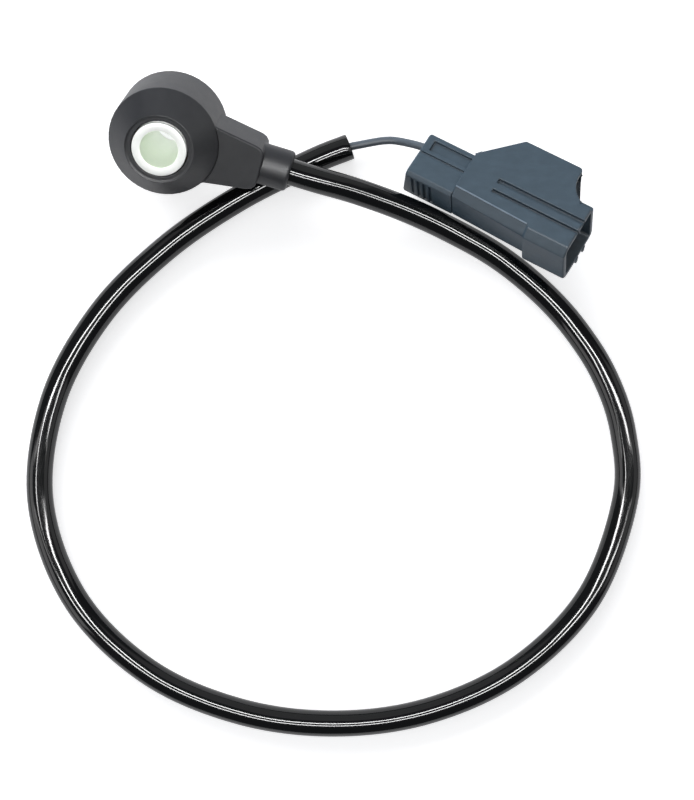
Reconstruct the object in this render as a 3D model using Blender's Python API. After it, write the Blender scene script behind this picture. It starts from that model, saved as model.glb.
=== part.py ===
"""Engine knock sensor with its lead and connector, lying on a bench.

Metres, +Z up, bench at z = 0. The origin is on the bench under the middle of the sensor head.
The head is modelled upright in its own frame, with its bore on Z, its back face at z = 0 and its
neck along +X. The connector has its own frame too: X from rear to mouth, Z up, zero on its rear
face at the height of its blades. Two empties lay both of them down as they come to rest.
"""

from math import asin, atan2, cos, hypot, pi, radians, sin

import bmesh
import bpy
from mathutils import Matrix, Vector

# Fits
FIT_GAP = 0.0003
OVERRUN = 0.001

# Roundness: facets on large turned pieces, on small ones and on ferrules, steps in rounded
# corners and fillets, and the slopes in degrees at the points of a turned rounded edge
LARGE_FACETS = 48
SMALL_FACETS = 24
FERRULE_FACETS = 12
CORNER_STEPS = 3
FILLET_STEPS = 4
EDGE_SLOPES = (0, 30, 60, 90)
CURVE_STEPS = 16

# Steel bush that the fixing screw clamps
SCREW_HOLE_DIAMETER = 0.0084
BUSH_WALL = 0.0019
BUSH_PROUD = 0.0003
BUSH_OVER_CREST = 0.0001
BUSH_CHAMFER = 0.0003
FLANGE_WIDTH = 0.0032
FLANGE_THICKNESS = 0.0020
BUSH_GROOVE_DEPTH = 0.0003
BUSH_GROOVE_WIDTH = 0.0005

# Sensing stack, from the flange up
LINER_WALL = 0.0004
STACK_WIDTH = 0.0027
INSULATOR_THICKNESS = 0.0005
CONTACT_THICKNESS = 0.0004
PIEZO_THICKNESS = 0.0028
MASS_THICKNESS = 0.0040
SPRING_THICKNESS = 0.0005
SPRING_RISE = 0.0004
NUT_WIDTH = 0.0012
NUT_THICKNESS = 0.0020
TAB_WIDTH = 0.0018
TAB_REACH = 0.0044

# Overmould of the head
RING_WALL = 0.0023
SHOULDER_OVER_MASS = 0.0008
CROWN_THICKNESS = 0.0020
CREST_INSIDE_NUT = 0.0002
CROWN_DISH_DEPTH = 0.0003
CROWN_DISH_WIDTH = 0.0007
BACK_EDGE_RADIUS = 0.0006
NECK_STEP = 0.00015
NECK_REACH = 0.0099
NECK_ROOT_WIDTH = 0.0130
NECK_END_MARGIN = 0.0003
NECK_CORNER_RADIUS = 0.0024
NECK_FILLET_RADIUS = 0.0022
NECK_EDGE = 0.0005
COLLAR_WALL = 0.00135
COLLAR_LENGTH = 0.0065
COLLAR_EDGE_RADIUS = 0.0009
COLLAR_BORE_DEPTH = 0.0064

# Lead
PROTECTIVE_SLEEVE_DIAMETER = 0.0060
CABLE_DIAMETER = 0.0018
CORE_DIAMETER = 0.0008
CORE_SPREAD = 0.0016
CRIMP_WALL = 0.00035
CRIMP_LENGTH = 0.0030

# Connector outside
REAR_LENGTH = 0.0116
REAR_WIDTH = 0.0116
REAR_HEIGHT = 0.0098
REAR_RISE = 0.0006
REAR_LEAN = 0.0012
BODY_LENGTH = 0.0186
BODY_WIDTH = 0.0112
BODY_HEIGHT = 0.0124
BODY_CHAMFER = 0.0019
BODY_FRONT_CHAMFER = 0.0013
BODY_FRONT_DROP = 0.0024
BODY_REAR_RISE = 0.0012
SHROUD_LENGTH = 0.0105
SHROUD_WIDTH = 0.0138
SHROUD_HEIGHT = 0.0136
SHROUD_WALL = 0.0013
SHROUD_CORNER_RADIUS = 0.0016
BODY_CORNER_RADIUS = 0.0008
MOUTH_DEPTH = 0.0098
MOUTH_LEAN = 0.0005

# Fin beside the connector: a flat pocket that slides on a bracket's tongue
FIN_REACH = 0.0080
FIN_THICKNESS = 0.0056
FIN_WALL = 0.0011
FIN_SLOPE_LENGTH = 0.0084
FIN_SHORT_OF_MOUTH = 0.0066
FIN_END_SLANT = 0.0037
FIN_CORNER_RADIUS = 0.0008
POCKET_DEPTH = 0.0110
POCKET_NOTCH_RADIUS = 0.0059
POCKET_NOTCH_DEPTH = 0.0011

# Key grooves along the top, and the two latch ribs under the mouth
KEY_LENGTH = 0.0214
KEY_DEPTH = 0.0009
WIDE_KEY_WIDTH = 0.0011
NARROW_KEY_WIDTH = 0.0008
KEY_SPACING = 0.0027
KEY_OFFSET = 0.0006
RIB_SPACING = 0.0032
RIB_OFFSET = 0.0009
RIB_WIDTH = 0.0010
RIB_LENGTH = 0.0056
RIB_HEIGHT = 0.0012
RIB_PROUD = 0.0002

# Rear cover's details
NOSE_LENGTH = 0.0040
NOSE_WIDTH = 0.0094
NOSE_HEIGHT = 0.0072
NOSE_WALL = 0.0005
WINDOW_LENGTH = 0.0097
WINDOW_WIDTH = 0.0026
WINDOW_DEPTH = 0.0007
WINDOW_OFFSET = 0.0031
COVER_GROOVE_WIDTH = 0.0005
COVER_GROOVE_OFFSET = 0.0006
GRIP_COUNT = 4
GRIP_PITCH = 0.0015
GRIP_WIDTH = 0.0007
GRIP_DEPTH = 0.0006
CABLE_OFFSET = 0.0031
CABLE_RISE = 0.0017
REAR_WALL = 0.0025

# Seal and terminals
SEAL_DIAMETER = 0.0034
SEAL_LENGTH = 0.0060
SEAL_RIB = 0.0002
SEAL_RIB_COUNT = 3
JACKET_END = 0.0140
CORE_FAN_LENGTH = 0.0024
TERMINAL_PITCH = 0.0050
TERMINAL_BOX_LENGTH = 0.0080
TERMINAL_BOX_WIDTH = 0.0022
TERMINAL_BOX_HEIGHT = 0.0020
BLADE_WIDTH = 0.0015
BLADE_THICKNESS = 0.0008
BLADE_REACH = 0.0055
BLADE_TIP = 0.0010
LOCK_THICKNESS = 0.0012

# How the two ends lie on the bench
HEAD_FOOT = (-0.00675, 0.00314)
HEAD_YAW = radians(-16.5)
HEAD_ROLL = radians(29)
HEAD_DROP = radians(3)
CONNECTOR_REAR = (0.0492, -0.0062)
CONNECTOR_YAW = radians(-28.7)
CONNECTOR_PITCH = radians(-14)
CONNECTOR_ROLL = radians(-15)

# Routes, chosen point by point
SLEEVE_ROUTE = (
    (0.0350, -0.0129, 0.0088),
    (0.0492, -0.0177, 0.0052),
    (0.0583, -0.0219, 0.0037),
    (0.0671, -0.0269, 0.0031),
    (0.0829, -0.0409, 0.00305),
    (0.0944, -0.0603, 0.00305),
    (0.0968, -0.0836, 0.00305),
    (0.0885, -0.1058, 0.00305),
    (0.0720, -0.1224, 0.00305),
    (0.0514, -0.1319, 0.00305),
    (0.0295, -0.1348, 0.00305),
    (0.0076, -0.1319, 0.00305),
    (-0.0133, -0.1227, 0.00305),
    (-0.0299, -0.1061, 0.00305),
    (-0.0379, -0.0836, 0.00305),
    (-0.0350, -0.0604, 0.00305),
    (-0.0243, -0.0407, 0.00305),
    (-0.0093, -0.0255, 0.00305),
    (0.0076, -0.0139, 0.00305),
    (0.0247, -0.0053, 0.00305),
    (0.0334, -0.0018, 0.00305),
)
SLEEVE_SPACING = 0.0105
CABLE_ROUTE = (
    (0.0337, -0.0017, 0.0031),
    (0.0362, -0.0011, 0.0031),
    (0.0390, -0.0004, 0.0033),
    (0.0417, -0.0001, 0.0036),
    (0.0445, -0.0002, 0.0040),
)
CABLE_SPACING = 0.0030
CORE_SPACING = 0.0012

# Sizes that follow from the ones above
bush_radius = SCREW_HOLE_DIAMETER / 2 + BUSH_WALL
flange_radius = bush_radius + FLANGE_WIDTH
liner_radius = bush_radius + FIT_GAP + LINER_WALL
stack_inner = liner_radius + FIT_GAP
stack_radius = stack_inner + STACK_WIDTH
stack_hole = stack_radius + FIT_GAP
ring_radius = stack_hole + RING_WALL
nut_radius = bush_radius + FIT_GAP + NUT_WIDTH
spring_radius = stack_radius - FIT_GAP

flange_top = FLANGE_THICKNESS - BUSH_PROUD
lower_insulator_level = flange_top + FIT_GAP
lower_contact_level = lower_insulator_level + INSULATOR_THICKNESS + FIT_GAP
piezo_level = lower_contact_level + CONTACT_THICKNESS + FIT_GAP
upper_contact_level = piezo_level + PIEZO_THICKNESS + FIT_GAP
upper_insulator_level = upper_contact_level + CONTACT_THICKNESS + FIT_GAP
mass_level = upper_insulator_level + INSULATOR_THICKNESS + FIT_GAP
spring_level = mass_level + MASS_THICKNESS + FIT_GAP
nut_level = spring_level + SPRING_THICKNESS + SPRING_RISE + FIT_GAP
nut_top = nut_level + NUT_THICKNESS

rim_level = spring_level - FIT_GAP + SHOULDER_OVER_MASS
crest_level = nut_top + FIT_GAP + CROWN_THICKNESS
crest_radius = nut_radius + FIT_GAP - CREST_INSIDE_NUT
dish_level = crest_level - CROWN_DISH_DEPTH
dish_radius = crest_radius - CROWN_DISH_WIDTH
bush_top = crest_level + BUSH_OVER_CREST

sleeve_radius = PROTECTIVE_SLEEVE_DIAMETER / 2
collar_bore_radius = sleeve_radius + FIT_GAP
collar_radius = collar_bore_radius + COLLAR_WALL
neck_top = rim_level - NECK_STEP
neck_bottom = neck_top - 2 * collar_radius - NECK_END_MARGIN
neck_end = ring_radius + NECK_REACH
collar_level = (neck_top + neck_bottom) / 2
collar_end = neck_end + COLLAR_LENGTH
sleeve_start = collar_end - COLLAR_BORE_DEPTH

core_radius = CORE_DIAMETER / 2
crimp_bore = core_radius + FIT_GAP
crimp_radius = crimp_bore + CRIMP_WALL
crimp_start = stack_radius + TAB_REACH + FIT_GAP
lead_level = upper_contact_level + CONTACT_THICKNESS / 2
lead_offset = TAB_WIDTH / 2 + 2 * FIT_GAP + CORE_DIAMETER

rear_middle = REAR_RISE
cable_level = rear_middle + CABLE_RISE
body_start = REAR_LENGTH + FIT_GAP
shroud_start = body_start + BODY_LENGTH
mouth = shroud_start + SHROUD_LENGTH
mouth_floor = mouth - MOUTH_DEPTH
body_top = SHROUD_HEIGHT / 2
body_bottom = body_top - BODY_HEIGHT
nose_end = REAR_LENGTH + NOSE_LENGTH
seal_end = REAR_WALL + 2 * FIT_GAP + SEAL_LENGTH
terminal_start = nose_end + CORE_FAN_LENGTH
terminal_box_start = terminal_start + CRIMP_LENGTH
terminal_box_end = terminal_box_start + TERMINAL_BOX_LENGTH
blade_end = mouth_floor + BLADE_REACH


# General helpers

def clear_scene():
    for obj in list(bpy.data.objects):
        bpy.data.objects.remove(obj, do_unlink=True)


def linear(channel):
    return channel / 12.92 if channel <= 0.04045 else ((channel + 0.055) / 1.055) ** 2.4


def material(name, hex_colour, roughness, metallic=0.0):
    """A Principled material with an sRGB colour such as "#3a3d40"."""
    made = bpy.data.materials.get(name) or bpy.data.materials.new(name)
    made.use_nodes = True
    shader = made.node_tree.nodes["Principled BSDF"]
    channels = [int(hex_colour[i : i + 2], 16) / 255 for i in (1, 3, 5)]
    shader.inputs["Base Color"].default_value = (*map(linear, channels), 1.0)
    shader.inputs["Roughness"].default_value = roughness
    shader.inputs["Metallic"].default_value = metallic
    return made


def to_object(name, bm, frame=None):
    """Turns a finished bmesh into a smooth-shaded object with its faces pointing out."""
    bmesh.ops.remove_doubles(bm, verts=bm.verts, dist=1e-7)
    bmesh.ops.recalc_face_normals(bm, faces=bm.faces)
    mesh = bpy.data.meshes.new(name)
    bm.to_mesh(mesh)
    bm.free()
    mesh.shade_smooth()
    mesh.set_sharp_from_angle(angle=radians(32))
    obj = bpy.data.objects.new(name, mesh)
    bpy.context.collection.objects.link(obj)
    obj.parent = frame
    return obj


def turned(name, profile, frame=None, facets=LARGE_FACETS):
    """Spins a closed outline of (radius, height) points about Z. Points may lie on the axis."""
    bm = bmesh.new()
    points = [bm.verts.new((radius, 0, height)) for radius, height in profile]
    pairs = zip(points, points[1:] + points[:1])
    edges = [bm.edges.new(pair) for pair in pairs if pair[0].co.x or pair[1].co.x]
    bmesh.ops.spin(
        bm, geom=points + edges, cent=(0, 0, 0), axis=(0, 0, 1),
        angle=2 * pi, steps=facets, use_merge=True,
    )
    return to_object(name, bm, frame)


def tube_profile(inner, outer, low, high, edge=0.0):
    """The outline of a plain ring, with its outer edges chamfered by edge."""
    if not edge:
        return [(inner, low), (outer, low), (outer, high), (inner, high)]
    return [
        (inner, low), (outer - edge, low), (outer, low + edge),
        (outer, high - edge), (outer - edge, high), (inner, high),
    ]


def rounded(corners, steps=CORNER_STEPS):
    """An outline whose corners, given as (x, y, radius), are replaced by arcs."""
    outline = []
    for index, (x, y, radius) in enumerate(corners):
        corner = Vector((x, y))
        before = (Vector(corners[index - 1][:2]) - corner).normalized()
        after = (Vector(corners[(index + 1) % len(corners)][:2]) - corner).normalized()
        half_angle = before.angle(after) / 2
        if radius <= 0:
            outline.append(corner)
            continue
        centre = corner + (before + after).normalized() * (radius / sin(half_angle))
        reach = radius * cos(half_angle) / sin(half_angle)
        first = corner + before * reach - centre
        last = corner + after * reach - centre
        turn = atan2(first.x * last.y - first.y * last.x, first.dot(last))
        for step in range(steps + 1):
            outline.append(centre + Matrix.Rotation(turn * step / steps, 2) @ first)
    return outline


def prism(name, outline, low, high, frame=None):
    """Extrudes an XY outline from z = low to z = high."""
    bm = bmesh.new()
    face = bm.faces.new([bm.verts.new((x, y, low)) for x, y in outline])
    grown = bmesh.ops.extrude_face_region(bm, geom=[face])["geom"]
    risen = [item for item in grown if isinstance(item, bmesh.types.BMVert)]
    bmesh.ops.translate(bm, verts=risen, vec=(0, 0, high - low))
    return to_object(name, bm, frame)


def block(name, low, high, frame=None):
    """A box between two corners."""
    (x0, y0, z0), (x1, y1, z1) = low, high
    return prism(name, [(x0, y0), (x1, y0), (x1, y1), (x0, y1)], z0, z1, frame)


def stand(obj, matrix):
    """Applies a turn or a shift to an object's mesh, in its frame."""
    obj.data.transform(matrix)
    return obj


def along_x(obj, x, y, z):
    """Lays a piece that was turned about Z along +X, its z = 0 end at the given point."""
    return stand(obj, Matrix.Translation((x, y, z)) @ Matrix.Rotation(pi / 2, 4, "Y"))


def boolean(target, operand, operation="DIFFERENCE"):
    """Adds operand to target, or takes it away. The operand stays as a hidden helper."""
    operand.hide_render = True
    operand.display_type = "WIRE"
    step = target.modifiers.new(operation.lower() + " " + operand.name, "BOOLEAN")
    step.solver = "EXACT"
    step.operation = operation
    step.object = operand


def soften(obj, width, segments=2):
    """Rounds an object's sharp edges."""
    bevel = obj.modifiers.new("soft edges", "BEVEL")
    bevel.width = width
    bevel.segments = segments
    bevel.limit_method = "ANGLE"
    bevel.angle_limit = radians(50)


def smooth_points(route, spacing):
    """Evenly spaced points on one smooth curve through the route's points."""
    stops = [Vector(stop) for stop in route]
    stops = [2 * stops[0] - stops[1], *stops, 2 * stops[-1] - stops[-2]]
    fine = []
    for p0, p1, p2, p3 in zip(stops, stops[1:], stops[2:], stops[3:]):
        for step in range(CURVE_STEPS):
            t = step / CURVE_STEPS
            fine.append(0.5 * (
                2 * p1 + (p2 - p0) * t + (2 * p0 - 5 * p1 + 4 * p2 - p3) * t**2
                + (3 * p1 - p0 - 3 * p2 + p3) * t**3
            ))
    fine.append(stops[-2])
    steps = [(b - a).length for a, b in zip(fine, fine[1:])]
    count = max(2, round(sum(steps) / spacing))
    points, walked, index = [fine[0]], 0.0, 0
    for number in range(1, count):
        target = sum(steps) * number / count
        while walked + steps[index] < target:
            walked += steps[index]
            index += 1
        points.append(fine[index].lerp(fine[index + 1], (target - walked) / steps[index]))
    return [*points, fine[-1]]


def cord(name, route, spacing, radius, resolution, frame=None):
    """A round cord with closed ends, as a curve object."""
    curve = bpy.data.curves.new(name, "CURVE")
    curve.dimensions = "3D"
    curve.bevel_depth = radius
    curve.bevel_resolution = resolution
    curve.use_fill_caps = True
    points = smooth_points(route, spacing)
    spline = curve.splines.new("POLY")
    spline.points.add(len(points) - 1)
    for stop, point in zip(spline.points, points):
        stop.co = (*point, 1)
    obj = bpy.data.objects.new(name, curve)
    bpy.context.collection.objects.link(obj)
    obj.parent = frame
    return obj


def as_mesh(curve_object):
    """Replaces a cord's curve object by a closed mesh, so that it can cut."""
    bpy.context.view_layer.update()
    graph = bpy.context.evaluated_depsgraph_get()
    name, frame = curve_object.name, curve_object.parent
    bm = bmesh.new()
    bm.from_mesh(bpy.data.meshes.new_from_object(curve_object.evaluated_get(graph)))
    bpy.data.objects.remove(curve_object, do_unlink=True)
    return to_object(name, bm, frame)


def finish(obj, colour):
    """Gives an object its material."""
    obj.data.materials.append(colour)
    return obj


def laid_down(name, foot, turn, low_points):
    """An empty that turns a frame and sets its lowest point on the bench."""
    empty = bpy.data.objects.new(name, None)
    bpy.context.collection.objects.link(empty)
    height = -min((turn @ Vector(point)).z for point in low_points)
    empty.matrix_world = Matrix.Translation((*foot, height)) @ turn.to_4x4()
    return empty


# Sensor head

def head_frame():
    """The head rolled about its neck, with the ring's back edge on the bench."""
    turn = (
        Matrix.Rotation(HEAD_YAW, 3, "Z")
        @ Matrix.Rotation(HEAD_DROP, 3, "Y")
        @ Matrix.Rotation(HEAD_ROLL, 3, "X")
    )
    inset = ring_radius - BACK_EDGE_RADIUS
    edge = BACK_EDGE_RADIUS
    ring = []
    for step in range(LARGE_FACETS):
        around = 2 * pi * step / LARGE_FACETS
        for fall in EDGE_SLOPES:
            out = inset + edge * sin(radians(fall))
            up = edge * (1 - cos(radians(fall)))
            ring.append((out * cos(around), out * sin(around), up))
    return laid_down("head_frame", HEAD_FOOT, turn, ring)


def mounting_sleeve(frame):
    """Flanged bush, zinc plated. Two grooves near its top end key it into the overmould."""
    hole = SCREW_HOLE_DIAMETER / 2
    edge = BUSH_CHAMFER
    neck = bush_radius - BUSH_GROOVE_DEPTH
    groove_top = dish_level - FIT_GAP
    groove_low = groove_top - BUSH_GROOVE_WIDTH
    profile = [
        (hole + edge, -BUSH_PROUD),
        (flange_radius - edge, -BUSH_PROUD),
        (flange_radius, -BUSH_PROUD + edge),
        (flange_radius, flange_top - edge),
        (flange_radius - edge, flange_top),
        (bush_radius, flange_top),
        (bush_radius, groove_low),
        (neck, groove_low),
        (neck, groove_top),
        (bush_radius, groove_top),
        (bush_radius, bush_top - edge),
        (bush_radius - edge, bush_top),
        (hole + edge, bush_top),
        (hole, bush_top - edge),
        (hole, -BUSH_PROUD + edge),
    ]
    return turned("mounting_sleeve", profile, frame)


def stack_ring(name, frame, level, thickness, outer=None, facets=LARGE_FACETS, edge=0.0):
    outer = outer or stack_radius
    return turned(name, tube_profile(stack_inner, outer, level, level + thickness, edge), frame, facets)


def disc_spring(frame):
    """Cone washer: its outer edge bears on the mass and its inner edge lifts to the nut."""
    low, high = spring_level, spring_level + SPRING_RISE
    profile = [
        (stack_inner, high), (spring_radius, low),
        (spring_radius, low + SPRING_THICKNESS), (stack_inner, high + SPRING_THICKNESS),
    ]
    return turned("disc_spring", profile, frame)


def tab_outline(level, grow):
    """Side outline of a contact's tab in X and Z: out from the washer, then up to the leads."""
    root = stack_inner + STACK_WIDTH / 2
    bend = stack_radius + FIT_GAP
    tip = stack_radius + TAB_REACH + (FIT_GAP if grow else 0)
    rise_end = max(bend, tip - TAB_WIDTH)
    middle = level + CONTACT_THICKNESS / 2
    half = CONTACT_THICKNESS / 2 + (FIT_GAP if grow else 0)
    path = [Vector((root, middle)), Vector((bend, middle)),
            Vector((rise_end, lead_level)), Vector((tip, lead_level))]
    lower = []
    upper = []
    for index, point in enumerate(path):
        ahead = (path[min(index + 1, 3)] - path[max(index - 1, 0)]).normalized()
        side = Vector((-ahead.y, ahead.x)) * half
        upper.append(point + side)
        lower.append(point - side)
    return lower + upper[::-1]


def contact_tab(name, level, y, frame, grow=False):
    width = TAB_WIDTH / 2 + (FIT_GAP if grow else 0)
    tab = prism(name, tab_outline(level, grow), -width, width, frame)
    upright = Matrix.Rotation(pi / 2, 4, "X")
    return stand(tab, Matrix.Translation((0, y, 0)) @ upright)


def contact_plate(name, level, y, frame):
    """Brass washer with its solder tab."""
    plate = stack_ring(name, frame, level, CONTACT_THICKNESS)
    boolean(plate, contact_tab(name + " tab", level, y, frame), "UNION")
    return plate


def crimp_barrel(name, x, y, z, frame, grow=False):
    """Crimped ferrule round a core's end. Grown, it is the solid pocket that holds it."""
    if grow:
        outer = crimp_radius + FIT_GAP
        profile = [(0, -FIT_GAP), (outer, -FIT_GAP)]
        profile += [(outer, CRIMP_LENGTH + FIT_GAP), (0, CRIMP_LENGTH + FIT_GAP)]
    else:
        profile = tube_profile(crimp_bore, crimp_radius, 0, CRIMP_LENGTH, CRIMP_WALL / 3)
    return along_x(turned(name, profile, frame, FERRULE_FACETS), x, y, z)


def lead_route(side):
    """From inside the crimp to the sleeve's end, side being +1 or -1 across the neck."""
    start = crimp_start + CRIMP_LENGTH / 3
    level = (lead_level + collar_level) / 2
    near = sleeve_start - FIT_GAP
    return [
        (start, side * lead_offset, lead_level),
        (crimp_start + CRIMP_LENGTH + core_radius, side * lead_offset, lead_level),
        ((crimp_start + CRIMP_LENGTH + near) / 2, side * (lead_offset + CORE_SPREAD / 2) / 2, level),
        (near - CORE_DIAMETER, side * CORE_SPREAD / 2, collar_level),
        (near, side * CORE_SPREAD / 2, collar_level),
    ]


def neck_outline():
    """Plan of the neck: tapered sides, a fillet into the ring and rounded end corners."""
    root_half = NECK_ROOT_WIDTH / 2
    end_half = collar_radius + NECK_END_MARGIN
    run = hypot(neck_end - ring_radius, root_half - end_half)
    lean = asin((root_half - end_half) / run)
    sunk = ring_radius - NECK_STEP
    # The fillet's centre is its radius off the neck's side and off the slightly sunk ring.
    along = Vector((cos(lean), -sin(lean)))
    across = Vector((sin(lean), cos(lean)))
    base = Vector((ring_radius, root_half)) + across * NECK_FILLET_RADIUS
    reach = sunk + NECK_FILLET_RADIUS
    slide = (reach**2 - base.dot(across) ** 2) ** 0.5 - base.dot(along)
    centre = base + along * slide
    first = (Vector((0, 0)) - centre).normalized() * NECK_FILLET_RADIUS
    last = -across * NECK_FILLET_RADIUS
    turn = atan2(first.x * last.y - first.y * last.x, first.dot(last))
    flare = [
        centre + Matrix.Rotation(turn * step / FILLET_STEPS, 2) @ first
        for step in range(FILLET_STEPS + 1)
    ]
    inner = Vector((flare[0].x - RING_WALL, flare[0].y - RING_WALL))
    corners = rounded([
        (ring_radius, root_half, 0), (neck_end, end_half, NECK_CORNER_RADIUS),
        (neck_end, -end_half, NECK_CORNER_RADIUS), (ring_radius, -root_half, 0),
    ])[1:-1]
    upper = [inner, *flare]
    lower = [Vector((point.x, -point.y)) for point in reversed(upper)]
    return upper + corners + lower


def housing_shape(frame):
    """Ring with its conical crown, the neck and the collar, before anything is cut."""
    edge = BACK_EDGE_RADIUS
    profile = [(0, 0)]
    for fall in EDGE_SLOPES:
        angle = radians(fall)
        profile.append((ring_radius - edge + edge * sin(angle), edge - edge * cos(angle)))
    profile += [
        (ring_radius, rim_level),
        (crest_radius, crest_level),
        (crest_radius - (crest_radius - dish_radius) / 2, dish_level),
        (dish_radius - BUSH_CHAMFER, dish_level),
        (0, dish_level),
    ]
    housing = turned("sensor_housing", profile, frame)
    neck = prism("neck shape", neck_outline(), neck_bottom, neck_top, frame)
    soften(neck, NECK_EDGE)
    boolean(housing, neck, "UNION")
    root = NECK_CORNER_RADIUS
    edge = COLLAR_EDGE_RADIUS
    profile = [(0, -root), (collar_radius, -root)]
    for fall in EDGE_SLOPES:
        angle = radians(fall)
        profile.append((collar_radius - edge + edge * cos(angle), COLLAR_LENGTH - edge + edge * sin(angle)))
    profile.append((0, COLLAR_LENGTH))
    collar = turned("collar shape", profile, frame, SMALL_FACETS)
    boolean(housing, along_x(collar, neck_end, 0, collar_level), "UNION")
    return housing


def stack_pocket(frame):
    """The space that the bush and the stack fill, as one turned cutter."""
    spring_hole = spring_radius + FIT_GAP
    nut_hole = nut_radius + FIT_GAP
    profile = [
        (0, -OVERRUN),
        (flange_radius + FIT_GAP, -OVERRUN),
        (flange_radius + FIT_GAP, flange_top),
        (stack_hole, flange_top),
        (stack_hole, spring_level - FIT_GAP / 2),
        (spring_hole, spring_level - FIT_GAP / 2),
        (spring_hole, nut_level - FIT_GAP / 2),
        (nut_hole, nut_level - FIT_GAP / 2),
        (nut_hole, nut_top + FIT_GAP),
        (bush_radius + FIT_GAP, nut_top + FIT_GAP),
        (bush_radius + FIT_GAP, crest_level + OVERRUN),
        (0, crest_level + OVERRUN),
    ]
    return turned("stack pocket", profile, frame)


def sensor_head():
    frame = head_frame()
    black = material("black glass-filled polyamide", "#373c3f", 0.55)
    zinc = material("zinc-plated steel", "#e6e8e4", 0.35, 1.0)
    brass = material("tinned brass", "#c9b27a", 0.35, 1.0)
    film = material("polyimide film", "#b9832f", 0.4)
    ceramic = material("piezo ceramic", "#d8cdb8", 0.6)
    steel = material("sintered steel", "#8d9092", 0.45, 1.0)
    spring_steel = material("spring steel", "#6d6f73", 0.3, 1.0)
    red = material("red core insulation", "#9c2b25", 0.5)
    white = material("white core insulation", "#e2e2dd", 0.5)

    housing = finish(housing_shape(frame), black)
    hollow = stack_pocket(frame)
    collar_bore = turned(
        "collar bore",
        [(0, 0), (collar_bore_radius, 0), (collar_bore_radius, COLLAR_BORE_DEPTH + OVERRUN),
         (0, COLLAR_BORE_DEPTH + OVERRUN)],
        frame, SMALL_FACETS,
    )
    boolean(hollow, along_x(collar_bore, sleeve_start - FIT_GAP, 0, collar_level), "UNION")

    finish(mounting_sleeve(frame), zinc)
    liner = tube_profile(bush_radius + FIT_GAP, liner_radius, flange_top + FIT_GAP, nut_level - FIT_GAP)
    finish(turned("insulating_liner", liner, frame), film)
    finish(stack_ring("lower_insulator", frame, lower_insulator_level, INSULATOR_THICKNESS), film)
    finish(stack_ring("piezo_ring", frame, piezo_level, PIEZO_THICKNESS, edge=FIT_GAP), ceramic)
    finish(stack_ring("upper_insulator", frame, upper_insulator_level, INSULATOR_THICKNESS), film)
    finish(stack_ring("seismic_mass", frame, mass_level, MASS_THICKNESS, edge=FIT_GAP), steel)
    finish(disc_spring(frame), spring_steel)
    nut = tube_profile(bush_radius + FIT_GAP, nut_radius, nut_level, nut_top, BUSH_CHAMFER)
    finish(turned("retaining_nut", nut, frame), steel)

    for name, level, side, insulation in (
        ("signal", upper_contact_level, 1, red),
        ("return", lower_contact_level, -1, white),
    ):
        plate_name = "upper_contact_plate" if side > 0 else "lower_contact_plate"
        finish(contact_plate(plate_name, level, side * lead_offset, frame), brass)
        finish(crimp_barrel(name + "_crimp", crimp_start, side * lead_offset, lead_level, frame), brass)
        lead = cord(name + "_lead", lead_route(side), CORE_SPACING, core_radius, 2, frame)
        finish(as_mesh(lead), insulation)
        pocket = cord(name + " lead pocket", lead_route(side), CORE_SPACING, core_radius + FIT_GAP, 2, frame)
        tab_pocket = contact_tab(name + " tab pocket", level, side * lead_offset, frame, True)
        crimp_pocket = crimp_barrel(
            name + " crimp pocket", crimp_start, side * lead_offset, lead_level, frame, True)
        for space in (tab_pocket, crimp_pocket, as_mesh(pocket)):
            boolean(hollow, space, "UNION")
    boolean(housing, hollow)
    return frame.matrix_world


# Connector

def connector_frame():
    """The connector with its rear edge on the bench and its mouth raised on the sleeve."""
    turn = (
        Matrix.Rotation(CONNECTOR_YAW, 3, "Z")
        @ Matrix.Rotation(CONNECTOR_PITCH, 3, "Y")
        @ Matrix.Rotation(CONNECTOR_ROLL, 3, "X")
    )
    floor = rear_middle - REAR_HEIGHT / 2
    half = REAR_WIDTH / 2 - BODY_CORNER_RADIUS
    low_points = [(-REAR_LEAN, half, floor), (-REAR_LEAN, -half, floor), (REAR_LENGTH, half, floor)]
    return laid_down("connector_frame", CONNECTOR_REAR, turn, low_points)


def section(x, low, high, chamfer, radius, lean=0.0, drop=None, flare=0.0):
    """A rounded cross-section at x. Its foot stands lean further along X. One upper corner is cut
    off, down by drop, and the cut's lower edge stands out from the foot by flare."""
    (y0, z0), (y1, z1) = low, high
    outline = rounded([
        (y0, z0, radius), (y1, z0, radius), (y1, z1, radius),
        (y0 + chamfer, z1, radius / 2), (y0 - flare, z1 - (drop or chamfer), radius / 2),
    ])
    return [Vector((x + lean * (z1 - z) / (z1 - z0), y, z)) for y, z in outline]


def lofted(name, sections, frame):
    """A closed solid through cross-sections that have the same number of points."""
    bm = bmesh.new()
    loops = [[bm.verts.new(point) for point in points] for points in sections]
    bm.faces.new(loops[0])
    bm.faces.new(loops[-1])
    for first, second in zip(loops, loops[1:]):
        for index in range(len(first)):
            after = (index + 1) % len(first)
            bm.faces.new((first[index], first[after], second[after], second[index]))
    return to_object(name, bm, frame)


def shroud_section(x, inset, lean=0.0):
    half_width = SHROUD_WIDTH / 2 - inset
    half_height = SHROUD_HEIGHT / 2 - inset
    chamfer = max(BODY_CHAMFER - inset, BODY_CHAMFER / 4)
    radius = max(SHROUD_CORNER_RADIUS - inset / 2, SHROUD_CORNER_RADIUS / 4)
    low, high = (-half_width, -half_height), (half_width, half_height)
    return section(x, low, high, chamfer, radius, lean)


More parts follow.
